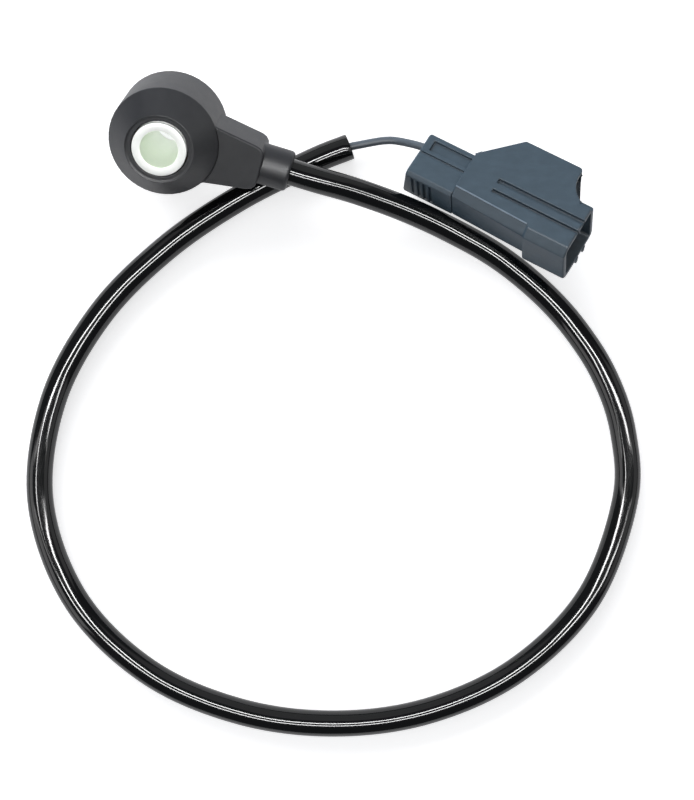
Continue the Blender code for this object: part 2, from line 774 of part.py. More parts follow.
def fin_outline():
    """Plan of the fin, from inside the body out to its flat side."""
    root = BODY_WIDTH / 2 - SHROUD_WALL
    foot = BODY_WIDTH / 2
    top = foot + FIN_REACH
    end = mouth - FIN_SHORT_OF_MOUTH
    return rounded([
        (body_start, root, 0),
        (body_start, foot, FIN_CORNER_RADIUS / 2),
        (body_start + FIN_SLOPE_LENGTH, top, FIN_CORNER_RADIUS),
        (end, top, FIN_CORNER_RADIUS),
        (end + FIN_END_SLANT, foot, 0),
        (end + FIN_END_SLANT, root, 0),
    ])


def key_groove(name, y, width, frame):
    low = (mouth - KEY_LENGTH, y - width / 2, body_top - KEY_DEPTH)
    high = (mouth + OVERRUN, y + width / 2, body_top + OVERRUN)
    return block(name, low, high, frame)


def latch_rib(name, y, frame):
    """A rib under the mouth that guides the mating plug's latch. It rises from the rear."""
    floor = -SHROUD_HEIGHT / 2
    front = mouth + MOUTH_LEAN + RIB_PROUD
    start = front - RIB_LENGTH
    outline = [
        (start, floor + SHROUD_WALL / 2), (start, floor),
        (start + RIB_LENGTH / 2, floor - RIB_HEIGHT),
        (front, floor - RIB_HEIGHT), (front, floor + SHROUD_WALL / 2),
    ]
    rib = prism(name, outline, -RIB_WIDTH / 2, RIB_WIDTH / 2, frame)
    return stand(rib, Matrix.Translation((0, y, 0)) @ Matrix.Rotation(pi / 2, 4, "X"))


def connector_housing(frame):
    """One moulding: body, shroud, fin, key grooves, terminal channels and the rear socket."""
    half = BODY_WIDTH / 2
    body_low, body_high = (-half, body_bottom), (half, body_top)
    body_rear = (-half, body_bottom + BODY_REAR_RISE)
    flare = (SHROUD_WIDTH - BODY_WIDTH) / 2
    housing = lofted("connector_housing", [
        section(body_start, body_rear, body_high, BODY_CHAMFER, BODY_CORNER_RADIUS),
        section(shroud_start, body_low, body_high, BODY_FRONT_CHAMFER, BODY_CORNER_RADIUS,
                drop=BODY_FRONT_DROP, flare=flare),
        shroud_section(shroud_start + FIT_GAP, 0),
        shroud_section(mouth - FIT_GAP, 0, MOUTH_LEAN),
        shroud_section(mouth, FIT_GAP, MOUTH_LEAN),
    ], frame)
    fin_floor = body_top - FIN_THICKNESS
    fin = prism("fin shape", fin_outline(), fin_floor, body_top, frame)
    boolean(housing, fin, "UNION")
    for side in (-1, 1):
        y = RIB_OFFSET + side * RIB_SPACING / 2
        boolean(housing, latch_rib(f"latch rib {side}", y, frame), "UNION")

    boolean(housing, lofted("mouth space", [
        shroud_section(mouth_floor, SHROUD_WALL),
        shroud_section(mouth + OVERRUN, SHROUD_WALL),
    ], frame))
    end = mouth - FIN_SHORT_OF_MOUTH
    pocket_low = (end - POCKET_DEPTH, SHROUD_WIDTH / 2 + FIT_GAP, fin_floor + FIN_WALL)
    pocket_high = (end + FIN_END_SLANT + OVERRUN, half + FIN_REACH - FIN_WALL, body_top - FIN_WALL)
    boolean(housing, block("fin pocket", pocket_low, pocket_high, frame))
    notch = turned("fin notch", [
        (0, body_top - FIN_WALL - FIT_GAP), (POCKET_NOTCH_RADIUS, body_top - FIN_WALL - FIT_GAP),
        (POCKET_NOTCH_RADIUS, body_top + OVERRUN), (0, body_top + OVERRUN),
    ], frame)
    slant = atan2(FIN_END_SLANT, FIN_REACH)
    outside = POCKET_NOTCH_RADIUS - POCKET_NOTCH_DEPTH
    notch_x = end + FIN_END_SLANT / 2 + outside * cos(slant)
    notch_y = half + FIN_REACH / 2 + outside * sin(slant)
    boolean(housing, stand(notch, Matrix.Translation((notch_x, notch_y, 0))))
    boolean(housing, key_groove("wide key", KEY_OFFSET + KEY_SPACING / 2, WIDE_KEY_WIDTH, frame))
    boolean(housing, key_groove("narrow key", KEY_OFFSET - KEY_SPACING / 2, NARROW_KEY_WIDTH, frame))

    socket_half = NOSE_WIDTH / 2 + FIT_GAP
    socket_low = (body_start - OVERRUN, -socket_half, rear_middle - NOSE_HEIGHT / 2 - FIT_GAP)
    socket_high = (terminal_box_start, socket_half, rear_middle + NOSE_HEIGHT / 2 + FIT_GAP)
    boolean(housing, block("rear socket", socket_low, socket_high, frame))
    for name, side in (("signal", 1), ("return", -1)):
        y = side * TERMINAL_PITCH / 2
        wide = TERMINAL_BOX_WIDTH / 2 + FIT_GAP
        tall = TERMINAL_BOX_HEIGHT / 2 + FIT_GAP
        low = (terminal_box_start - OVERRUN, y - wide, -tall)
        boolean(housing, block(name + " channel", low, (terminal_box_end + FIT_GAP, y + wide, tall), frame))
        wide = BLADE_WIDTH / 2 + FIT_GAP
        tall = BLADE_THICKNESS / 2 + FIT_GAP
        low = (terminal_box_end, y - wide, -tall)
        boolean(housing, block(name + " blade slot", low, (mouth_floor + OVERRUN, y + wide, tall), frame))
    return housing


def rear_cover(frame):
    """Rear moulding: block with window, groove and grips, and a hollow nose in the housing."""
    half, floor = REAR_WIDTH / 2, rear_middle - REAR_HEIGHT / 2
    top = floor + REAR_HEIGHT
    radius = BODY_CORNER_RADIUS
    cover = lofted("connector_rear_cover", [
        section(0, (-half + FIT_GAP, floor + FIT_GAP), (half - FIT_GAP, top - FIT_GAP), radius, radius,
                -REAR_LEAN),
        section(FIT_GAP, (-half, floor), (half, top), radius, radius, -REAR_LEAN),
        section(REAR_LENGTH, (-half, floor), (half, top), radius, radius),
    ], frame)
    nose_low = (REAR_LENGTH - OVERRUN, -NOSE_WIDTH / 2, rear_middle - NOSE_HEIGHT / 2)
    nose_high = (nose_end, NOSE_WIDTH / 2, rear_middle + NOSE_HEIGHT / 2)
    boolean(cover, block("cover nose", nose_low, nose_high, frame), "UNION")
    window_low = (REAR_LENGTH - WINDOW_LENGTH, WINDOW_OFFSET - WINDOW_WIDTH / 2, top - WINDOW_DEPTH)
    window_high = (REAR_LENGTH + OVERRUN, WINDOW_OFFSET + WINDOW_WIDTH / 2, top + OVERRUN)
    boolean(cover, block("latch window", window_low, window_high, frame))
    groove_low = (-REAR_LEAN - OVERRUN, COVER_GROOVE_OFFSET - COVER_GROOVE_WIDTH / 2, top - COVER_GROOVE_WIDTH)
    groove_high = (REAR_LENGTH + OVERRUN, COVER_GROOVE_OFFSET + COVER_GROOVE_WIDTH / 2, top + OVERRUN)
    boolean(cover, block("cover groove", groove_low, groove_high, frame))
    for number in range(GRIP_COUNT):
        start = GRIP_PITCH * (number + 1)
        low = (start, -half - OVERRUN, floor + GRIP_DEPTH)
        high = (start + GRIP_WIDTH, -half + GRIP_DEPTH, top - 2 * radius)
        boolean(cover, block(f"grip {number}", low, high, frame))
    seal_hole = SEAL_DIAMETER / 2 + FIT_GAP
    profile = [
        (0, -REAR_LEAN - OVERRUN), (CABLE_DIAMETER / 2 + FIT_GAP, -REAR_LEAN - OVERRUN),
        (CABLE_DIAMETER / 2 + FIT_GAP, REAR_WALL), (seal_hole, REAR_WALL),
        (seal_hole, seal_end + OVERRUN), (0, seal_end + OVERRUN),
    ]
    hole = turned("cable way", profile, frame, SMALL_FACETS)
    boolean(cover, along_x(hole, 0, CABLE_OFFSET, cable_level))
    wide, tall = NOSE_WIDTH / 2 - NOSE_WALL, NOSE_HEIGHT / 2 - NOSE_WALL
    low = (seal_end, -wide, rear_middle - tall)
    boolean(cover, block("core chamber", low, (nose_end + OVERRUN, wide, rear_middle + tall), frame))
    return cover


def cable_seal(frame):
    """Silicone plug with ribs round it, threaded on the cable."""
    inner = CABLE_DIAMETER / 2 + FIT_GAP
    outer = SEAL_DIAMETER / 2
    pitch = SEAL_LENGTH / SEAL_RIB_COUNT
    profile = [(inner, 0)]
    for number in range(SEAL_RIB_COUNT):
        start = number * pitch
        profile += [
            (outer - SEAL_RIB, start), (outer, start + pitch / 4),
            (outer, start + pitch / 2), (outer - SEAL_RIB, start + pitch * 3 / 4),
        ]
    profile += [(outer - SEAL_RIB, SEAL_LENGTH), (inner, SEAL_LENGTH)]
    seal = turned("cable_seal", profile, frame, SMALL_FACETS)
    return along_x(seal, REAR_WALL + FIT_GAP, CABLE_OFFSET, cable_level)


def terminal(name, y, frame):
    """Crimp barrel, spring box and tapered blade in one stamping."""
    barrel = tube_profile(crimp_bore, crimp_radius, 0, CRIMP_LENGTH + FIT_GAP)
    piece = along_x(turned(name, barrel, frame, FERRULE_FACETS), terminal_start, y, 0)
    wide, tall = TERMINAL_BOX_WIDTH / 2, TERMINAL_BOX_HEIGHT / 2
    low = (terminal_box_start, y - wide, -tall)
    boolean(piece, block(name + " box", low, (terminal_box_end, y + wide, tall), frame), "UNION")
    half = BLADE_WIDTH / 2
    outline = [
        (terminal_box_end - OVERRUN, y - half), (blade_end - BLADE_TIP, y - half),
        (blade_end, y - half / 2), (blade_end, y + half / 2),
        (blade_end - BLADE_TIP, y + half), (terminal_box_end - OVERRUN, y + half),
    ]
    blade = prism(name + " blade", outline, -BLADE_THICKNESS / 2, BLADE_THICKNESS / 2, frame)
    boolean(piece, blade, "UNION")
    return piece


def terminal_lock(frame):
    """Plate on the mouth's floor, threaded over both blades."""
    inset = SHROUD_WALL + FIT_GAP
    start = mouth_floor + FIT_GAP
    plate = lofted("terminal_lock", [
        shroud_section(start, inset), shroud_section(start + LOCK_THICKNESS, inset),
    ], frame)
    for name, side in (("signal", 1), ("return", -1)):
        y = side * TERMINAL_PITCH / 2
        wide = BLADE_WIDTH / 2 + FIT_GAP
        tall = BLADE_THICKNESS / 2 + FIT_GAP
        low = (start - OVERRUN, y - wide, -tall)
        high = (start + LOCK_THICKNESS + OVERRUN, y + wide, tall)
        boolean(plate, block(name + " lock slot", low, high, frame))
    return plate


def core_route(side):
    """From the jacket's end into a terminal's crimp."""
    y = side * TERMINAL_PITCH / 2
    start = JACKET_END + FIT_GAP
    fan = side * (CORE_DIAMETER + FIT_GAP) / 2
    return [
        (start, CABLE_OFFSET + fan, cable_level),
        (start + CORE_DIAMETER, CABLE_OFFSET + fan, cable_level),
        ((start + terminal_start) / 2 + CORE_DIAMETER / 2, (CABLE_OFFSET + fan + y) / 2, cable_level / 2),
        (terminal_start, y, 0),
        (terminal_start + CRIMP_LENGTH * 2 / 3, y, 0),
    ]


def connector():
    frame = connector_frame()
    grey = material("grey glass-filled polyester", "#50606d", 0.5)
    seal_colour = material("seal silicone", "#d9dcd6", 0.5)
    lock_colour = material("lock polyester", "#2b3238", 0.5)
    tin = material("tinned copper alloy", "#c7c5be", 0.3, 1.0)
    red = material("red core insulation", "#9c2b25", 0.5)
    white = material("white core insulation", "#e2e2dd", 0.5)
    finish(connector_housing(frame), grey)
    finish(rear_cover(frame), grey)
    finish(cable_seal(frame), seal_colour)
    finish(terminal_lock(frame), lock_colour)
    for name, side, insulation in (("signal", 1, red), ("return", -1, white)):
        finish(terminal(name + "_terminal", side * TERMINAL_PITCH / 2, frame), tin)
        core = cord(name + "_core", core_route(side), CORE_SPACING, core_radius, 2, frame)
        finish(as_mesh(core), insulation)
    return frame.matrix_world


# Lead

def lead(head, plug):
    """The sleeve starts in the collar, and the cable ends inside the connector."""
    held = [
        head @ Vector((x, 0, collar_level))
        for x in (sleeve_start, collar_end, collar_end + COLLAR_LENGTH)
    ]
    seated = [
        plug @ Vector((x, CABLE_OFFSET, cable_level))
        for x in (-REAR_LEAN, REAR_WALL, JACKET_END)
    ]
    glossy = material("glossy black sleeving", "#101214", 0.12)
    jacket = material("grey cable jacket", "#54606c", 0.45)
    sleeve = cord("protective_sleeve", [*held, *SLEEVE_ROUTE], SLEEVE_SPACING, sleeve_radius, 4)
    finish(sleeve, glossy)
    cable = cord("signal_cable", [*CABLE_ROUTE, *seated], CABLE_SPACING, CABLE_DIAMETER / 2, 2)
    finish(cable, jacket)


clear_scene()
lead(sensor_head(), connector())
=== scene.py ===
from math import cos, pi, radians, sin

import bmesh
import bpy
from mathutils import Matrix, Vector


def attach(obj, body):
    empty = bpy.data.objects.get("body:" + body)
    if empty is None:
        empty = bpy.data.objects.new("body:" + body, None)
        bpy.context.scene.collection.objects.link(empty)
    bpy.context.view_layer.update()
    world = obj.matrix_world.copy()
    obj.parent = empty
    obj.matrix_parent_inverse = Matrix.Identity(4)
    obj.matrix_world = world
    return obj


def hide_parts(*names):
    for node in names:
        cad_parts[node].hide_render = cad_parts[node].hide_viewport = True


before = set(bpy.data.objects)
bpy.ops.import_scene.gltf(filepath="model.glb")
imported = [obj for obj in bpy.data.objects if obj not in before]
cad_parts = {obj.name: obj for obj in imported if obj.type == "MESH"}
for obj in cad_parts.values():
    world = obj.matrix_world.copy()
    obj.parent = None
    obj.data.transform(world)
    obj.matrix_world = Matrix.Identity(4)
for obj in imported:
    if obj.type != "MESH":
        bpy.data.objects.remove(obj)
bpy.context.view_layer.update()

scene = bpy.context.scene
scene.view_settings.view_transform = "Standard"


# Camera. It hangs straight above the loop of the lead, as on a copy stand, so the picture's
# right is the bench's +X and its top is +Y.
CAMERA_LENS = 70.65
CAMERA_PLACE = (0.03275, -0.06022, 0.365)
camera_data = bpy.data.cameras.new("copy stand camera")
camera_data.lens = CAMERA_LENS
camera = bpy.data.objects.new("copy stand camera", camera_data)
scene.collection.objects.link(camera)
camera.location = CAMERA_PLACE
scene.camera = camera


# Steel bush. A flanged bush turned from free-cutting steel and zinc plated. The fixing screw
# clamps it between its two end faces, and a groove near its top keys it into the overmould.
BUSH_RADIUS = 0.0061
BUSH_HOLE_RADIUS = 0.0042
BUSH_FOOT = -0.0003
BUSH_TOP = 0.0180
FLANGE_RADIUS = 0.0093
FLANGE_TOP = 0.0017
BUSH_GROOVE = (0.0168, 0.0173)
BUSH_GROOVE_DEPTH = 0.0003
BUSH_EDGE = 0.00013
BUSH_SIDES = 128
ON_WALL_WITHIN = 0.00001
END_FACING = 0.9
SMOOTH_BELOW = radians(40)
HEAD_PLACE = (-0.00675, 0.00314, 0.00582)
HEAD_TURN = Matrix(((0.957506, 0.272734, -0.093804),
                    (-0.283626, 0.831396, -0.477846),
                    (-0.052336, 0.484145, 0.873421)))
HEAD = Matrix.Translation(HEAD_PLACE) @ HEAD_TURN.to_4x4()


def added(name):
    """Names the primitive that was just added and starts its shaping with nothing selected."""
    obj = bpy.context.active_object
    obj.name = obj.data.name = name
    bpy.ops.object.mode_set(mode="EDIT")
    bpy.ops.mesh.select_all(action="DESELECT")
    return obj


def pick(obj, kind, test):
    """Selects, in edit mode, just the faces or edges whose middle passes the test."""
    bpy.ops.mesh.select_mode(type="FACE" if kind == "faces" else "EDGE")
    bpy.ops.mesh.select_all(action="DESELECT")
    bm = bmesh.from_edit_mesh(obj.data)
    for part in getattr(bm, kind):
        middle = sum((vert.co for vert in part.verts), Vector()) / len(part.verts)
        if test(part, middle):
            part.select_set(True)
    bm.select_flush_mode()
    bmesh.update_edit_mesh(obj.data)


def is_end(face, middle):
    """True for a face that looks along the piece's own upright axis."""
    return abs(face.normal.z) > END_FACING


def modified(obj, kind, **settings):
    """Applies one modifier to a piece."""
    bpy.ops.object.select_all(action="DESELECT")
    obj.select_set(True)
    bpy.context.view_layer.objects.active = obj
    modifier = obj.modifiers.new(kind.lower(), kind)
    for key, value in settings.items():
        setattr(modifier, key, value)
    bpy.ops.object.modifier_apply(modifier=modifier.name)


def rounded(obj, width, segments=2, angle=35):
    """Rounds a piece's edges and shades it smooth between them, with its flat faces flat."""
    modified(obj, "BEVEL", width=width, segments=segments, limit_method="ANGLE",
             angle_limit=radians(angle), use_clamp_overlap=False, harden_normals=False)
    bpy.ops.object.shade_smooth_by_angle(angle=SMOOTH_BELOW)
    modified(obj, "WEIGHTED_NORMAL", keep_sharp=True)


def laid(obj, place):
    """Moves a finished mesh from its own upright frame to where the piece lies."""
    obj.data.transform(place)
    return obj


def linear(hex_colour):
    """The linear colour of an sRGB hex value."""
    channels = [int(hex_colour[i:i + 2], 16) / 255 for i in (1, 3, 5)]
    return (*(c / 12.92 if c <= 0.04045 else ((c + 0.055) / 1.055) ** 2.4 for c in channels), 1)


def add_node(tree, kind, properties=None, inputs=None):
    """Adds a node, with its properties, its inputs' values and the links into it."""
    made = tree.nodes.new("ShaderNode" + kind)
    for key, value in (properties or {}).items():
        setattr(made, key, value)
    for key, value in (inputs or {}).items():
        if isinstance(value, bpy.types.NodeSocket):
            tree.links.new(value, made.inputs[key])
        else:
            made.inputs[key].default_value = value
    return made


def started(name, **sockets):
    """A new material, its tree and its shader, with the shader's plain values set."""
    made = bpy.data.materials.new(name)
    made.use_nodes = True
    shader = made.node_tree.nodes["Principled BSDF"]
    for key, value in sockets.items():
        shader.inputs[key.replace("_", " ")].default_value = value
    return made, made.node_tree, shader


def coated(obj, material):
    """Gives a piece its material, on all its faces."""
    obj.data.materials.clear()
    obj.data.materials.append(material)
    for face in obj.data.polygons:
        face.material_index = 0


bpy.ops.object.select_all(action="DESELECT")
bpy.ops.mesh.primitive_cylinder_add(
    vertices=BUSH_SIDES, radius=BUSH_RADIUS, depth=BUSH_TOP - BUSH_FOOT,
    location=(0, 0, (BUSH_TOP + BUSH_FOOT) / 2))
bush = added("zinc_plated_bush")
bpy.ops.object.mode_set(mode="OBJECT")
bpy.ops.object.transform_apply(location=True)
bpy.ops.object.mode_set(mode="EDIT")
pick(bush, "faces", is_end)
bpy.ops.mesh.inset(thickness=BUSH_RADIUS - BUSH_HOLE_RADIUS)
bpy.ops.mesh.bridge_edge_loops()
for level in (FLANGE_TOP, *BUSH_GROOVE):
    bpy.ops.mesh.select_all(action="SELECT")
    bpy.ops.mesh.bisect(plane_co=(0, 0, level), plane_no=(0, 0, 1))
pick(bush, "faces", lambda face, middle: middle.z < FLANGE_TOP
     and middle.xy.length > BUSH_RADIUS - ON_WALL_WITHIN)
bpy.ops.mesh.extrude_region_shrink_fatten(
    TRANSFORM_OT_shrink_fatten={"value": FLANGE_RADIUS - BUSH_RADIUS, "use_even_offset": True})
pick(bush, "faces", lambda face, middle: BUSH_GROOVE[0] < middle.z < BUSH_GROOVE[1]
     and middle.xy.length > BUSH_RADIUS - ON_WALL_WITHIN)
bpy.ops.mesh.extrude_region_shrink_fatten(
    TRANSFORM_OT_shrink_fatten={"value": -BUSH_GROOVE_DEPTH, "use_even_offset": True})
bpy.ops.object.mode_set(mode="OBJECT")
rounded(bush, BUSH_EDGE, segments=3)
laid(bush, HEAD)

# Zinc-plated steel, turned then dipped in a pale passivation. The end faces read as bright satin
# metal with turning rings, drawn 0.26 mm apart, coarser than real ones, so that they show. The
# passivation tints the bore's wall pale green, and the bore's wall is also painted lighter than
# the end faces, a painted light inside the bore.
BORE_TINT_AND_LIGHT_STARTS = 0.00442
BORE_TINT_AND_LIGHT_FULL = 0.00428
zinc_plate, tree, shader = started("zinc plated steel", Metallic=0.75, Roughness=0.6)
place = add_node(tree, "TexCoord").outputs["Object"]
along_bore = add_node(tree, "Mapping", {"vector_type": "TEXTURE"}, {
    "Vector": place, "Location": HEAD_PLACE, "Rotation": HEAD_TURN.to_euler()}).outputs[0]
turned_rings = add_node(tree, "TexWave", {"wave_type": "RINGS", "rings_direction": "Z"}, {
    "Vector": along_bore, "Scale": 1200, "Distortion": 1.2, "Detail": 2}).outputs["Fac"]
blooms = add_node(tree, "TexNoise", None, {
    "Vector": place, "Scale": 900, "Detail": 4, "Roughness": 0.6}).outputs["Fac"]
across_bore = add_node(tree, "VectorMath", {"operation": "MULTIPLY"}, {
    0: along_bore, 1: (1, 1, 0)}).outputs[0]
off_axis = add_node(tree, "VectorMath", {"operation": "LENGTH"}, {0: across_bore}).outputs["Value"]
in_bore = add_node(tree, "MapRange", None, {
    "Value": off_axis, "From Min": BORE_TINT_AND_LIGHT_STARTS, "From Max": BORE_TINT_AND_LIGHT_FULL}).outputs[0]
plate_tone = add_node(tree, "Mix", {"data_type": "RGBA"}, {
    0: blooms, 6: linear("#e1e3e0"), 7: linear("#ebedea")}).outputs[2]
# Bore's wall: pale green from the passivation, and painted lighter than the end faces as painted
# light.
bore_tint_and_painted_light = add_node(tree, "Mix", {"data_type": "RGBA"}, {
    0: blooms, 6: linear("#f2faed"), 7: linear("#fbfff7")}).outputs[2]
tone = add_node(tree, "Mix", {"data_type": "RGBA"}, {
    0: in_bore, 6: plate_tone, 7: bore_tint_and_painted_light}).outputs[2]
ring_marks = add_node(tree, "Bump", None, {
    "Height": turned_rings, "Strength": 0.12, "Distance": 0.00003}).outputs[0]
bloom_marks = add_node(tree, "Bump", None, {
    "Height": blooms, "Strength": 0.25, "Distance": 0.00003, "Normal": ring_marks}).outputs[0]
tree.links.new(tone, shader.inputs["Base Color"])
tree.links.new(bloom_marks, shader.inputs["Normal"])
coated(bush, zinc_plate)
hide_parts("mounting_sleeve")
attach(bush, "root")


# Overmould of the head. One shot of black glass-filled polyamide moulded round the bush and
# the sensing stack: ring with its conical crown, neck and the round collar for the sleeving.
MOULDED_EDGE = 0.00022
MERGE_WITHIN = 0.000002
FLAT_WITHIN = radians(0.8)


def dressed(node, name, edge, segments=2, shaping=None):
    """A copy of a solid, with its triangles merged to whole faces and its edges rounded. The
    shaping, if there is one, comes between the two."""
    piece = bpy.data.objects.new(name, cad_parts[node].data.copy())
    scene.collection.objects.link(piece)
    bpy.ops.object.select_all(action="DESELECT")
    piece.select_set(True)
    bpy.context.view_layer.objects.active = piece
    if piece.data.has_custom_normals:
        bpy.ops.mesh.customdata_custom_splitnormals_clear()
    bpy.ops.object.mode_set(mode="EDIT")
    bpy.ops.mesh.select_all(action="SELECT")
    bpy.ops.mesh.remove_doubles(threshold=MERGE_WITHIN)
    bpy.ops.mesh.dissolve_limited(angle_limit=FLAT_WITHIN)
    if shaping:
        shaping(piece)
    bpy.ops.object.mode_set(mode="OBJECT")
    rounded(piece, edge, segments)
    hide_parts(node)
    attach(piece, "root")
    return piece


NECK_START = 0.0126
NECK_END = 0.0224
NECK_SHOULDER = 0.0120
NECK_SOFTNESS = 0.00033
NECK_FOLD = (radians(30), radians(60))


def neck_softened(piece):
    """Rolls the neck's upper edges over, which the mould leaves softer than the rest."""
    upright = HEAD.inverted()

    def on_shoulder(edge, middle):
        spot = upright @ middle
        return (NECK_START < spot.x < NECK_END and spot.z > NECK_SHOULDER
                and NECK_FOLD[0] < edge.calc_face_angle(0) < NECK_FOLD[1])

    pick(piece, "edges", on_shoulder)
    bpy.ops.mesh.bevel(offset=NECK_SOFTNESS, segments=3, clamp_overlap=True)


head_moulding = dressed("sensor_housing", "head_overmould", MOULDED_EDGE, shaping=neck_softened)

# Glass-filled polyamide 66, injection moulded in a spark-eroded tool. It reads as satin black,
# slightly cloudy where the glass lies near the skin. Its even grain is drawn 0.24 mm wide, which
# is coarser than the real one, so that it shows.
polyamide, tree, shader = started("moulded glass-filled polyamide", IOR=1.55)
place = add_node(tree, "TexCoord").outputs["Object"]
cloud = add_node(tree, "TexNoise", None, {
    "Vector": place, "Scale": 420, "Detail": 4, "Roughness": 0.55}).outputs["Fac"]
grain = add_node(tree, "TexNoise", None, {
    "Vector": place, "Scale": 4200, "Detail": 2, "Roughness": 0.6}).outputs["Fac"]
tone = add_node(tree, "Mix", {"data_type": "RGBA"}, {
    0: cloud, 6: linear("#1d1f24"), 7: linear("#27292e")}).outputs[2]
sheen = add_node(tree, "MapRange", None, {
    "Value": cloud, "To Min": 0.40, "To Max": 0.52}).outputs[0]
grained = add_node(tree, "Bump", None, {
    "Height": grain, "Strength": 0.35, "Distance": 0.00004}).outputs[0]
tree.links.new(tone, shader.inputs["Base Color"])
tree.links.new(sheen, shader.inputs["Roughness"])
tree.links.new(grained, shader.inputs["Normal"])
coated(head_moulding, polyamide)


# Sensing stack, sealed inside the overmould: liner, insulators, contact washers, piezo ring,
# mass, spring and nut, threaded on the bush in that order and clamped by the nut.

# Polyimide film, punched from sheet: clear amber with a faint streak from its casting.
polyimide, tree, shader = started("punched polyimide film", Roughness=0.32, IOR=1.7)
place = add_node(tree, "TexCoord").outputs["Object"]
streaked = add_node(tree, "Mapping", None, {
    "Vector": place, "Scale": (300, 2600, 2600)}).outputs[0]
streaks = add_node(tree, "TexNoise", None, {
    "Vector": streaked, "Scale": 1, "Detail": 3}).outputs["Fac"]
tone = add_node(tree, "Mix", {"data_type": "RGBA"}, {
    0: streaks, 6: linear("#a9721f"), 7: linear("#c8923c")}).outputs[2]
tree.links.new(tone, shader.inputs["Base Color"])
for node in ("insulating_liner", "lower_insulator", "upper_insulator"):
    coated(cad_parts[node], polyimide)

# Tinned brass strip, stamped: dull warm silver over yellow, with rolling lines.
tinned_brass, tree, shader = started("stamped tinned brass", Metallic=1.0, Roughness=0.34)
place = add_node(tree, "TexCoord").outputs["Object"]
rolled = add_node(tree, "Mapping", None, {
    "Vector": place, "Scale": (400, 6000, 6000)}).outputs[0]
rolling = add_node(tree, "TexNoise", None, {
    "Vector": rolled, "Scale": 1, "Detail": 2}).outputs["Fac"]
tone = add_node(tree, "Mix", {"data_type": "RGBA"}, {
    0: rolling, 6: linear("#bda469"), 7: linear("#d6c28d")}).outputs[2]
lined = add_node(tree, "Bump", None, {
    "Height": rolling, "Strength": 0.2, "Distance": 0.00002}).outputs[0]
tree.links.new(tone, shader.inputs["Base Color"])
tree.links.new(lined, shader.inputs["Normal"])
for node in ("lower_contact_plate", "upper_contact_plate", "signal_crimp", "return_crimp"):
    coated(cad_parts[node], tinned_brass)

# Lead zirconate ceramic, pressed and fired: matt cream with a fine speckle of pores.
fired_ceramic, tree, shader = started("pressed and fired ceramic", Roughness=0.62, IOR=1.9)
place = add_node(tree, "TexCoord").outputs["Object"]
pores = add_node(tree, "TexVoronoi", None, {"Vector": place, "Scale": 3800}).outputs["Distance"]
tone = add_node(tree, "Mix", {"data_type": "RGBA"}, {
    0: pores, 6: linear("#c9bda5"), 7: linear("#ded4c0")}).outputs[2]
pitted = add_node(tree, "Bump", None, {
    "Height": pores, "Strength": 0.25, "Distance": 0.00004}).outputs[0]
tree.links.new(tone, shader.inputs["Base Color"])
tree.links.new(pitted, shader.inputs["Normal"])
coated(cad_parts["piezo_ring"], fired_ceramic)

# Sintered steel: grey metal with open pores a tenth of a millimetre across.
sintered, tree, shader = started("sintered steel", Metallic=1.0, Roughness=0.46)
place = add_node(tree, "TexCoord").outputs["Object"]
pores = add_node(tree, "TexNoise", None, {
    "Vector": place, "Scale": 7000, "Detail": 3, "Roughness": 0.7}).outputs["Fac"]
tone = add_node(tree, "Mix", {"data_type": "RGBA"}, {
    0: pores, 6: linear("#7b7e81"), 7: linear("#9c9fa1")}).outputs[2]
pitted = add_node(tree, "Bump", None, {
    "Height": pores, "Strength": 0.4, "Distance": 0.00004}).outputs[0]
tree.links.new(tone, shader.inputs["Base Color"])
tree.links.new(pitted, shader.inputs["Normal"])
for node in ("seismic_mass", "retaining_nut"):
    coated(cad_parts[node], sintered)

# Hardened spring steel: dark oiled metal with a faint brown heat tint.
tempered, tree, shader = started("tempered spring steel", Metallic=1.0, Roughness=0.28)
place = add_node(tree, "TexCoord").outputs["Object"]
tint = add_node(tree, "TexNoise", None, {
    "Vector": place, "Scale": 260, "Detail": 3}).outputs["Fac"]
tone = add_node(tree, "Mix", {"data_type": "RGBA"}, {
    0: tint, 6: linear("#5f6066"), 7: linear("#7d776f")}).outputs[2]
tree.links.new(tone, shader.inputs["Base Color"])
coated(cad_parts["disc_spring"], tempered)


# Cores of the cable. Two insulated wires, one red and one white, run from the crimps through
# the neck, and again from the cable's end to the terminals.
# Cross-linked insulation, extruded: smooth satin plastic with a slight waver in its tone.
for core, shade, light, slot in (
    ("signal", "#8f241f", "#a9332b", "red_insulation"),
    ("return", "#d8d8d2", "#ebebe6", "white_insulation"),
):
    insulation, tree, shader = started(core + " core insulation", Roughness=0.42, IOR=1.5)
    place = add_node(tree, "TexCoord").outputs["Object"]
    waver = add_node(tree, "TexNoise", None, {
        "Vector": place, "Scale": 1100, "Detail": 3}).outputs["Fac"]
    tone = add_node(tree, "Mix", {"data_type": "RGBA"}, {
        0: waver, 6: linear(shade), 7: linear(light)}).outputs[2]
    tree.links.new(tone, shader.inputs["Base Color"])
    for node in (core + "_lead", core + "_core"):
        coated(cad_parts[node], insulation)


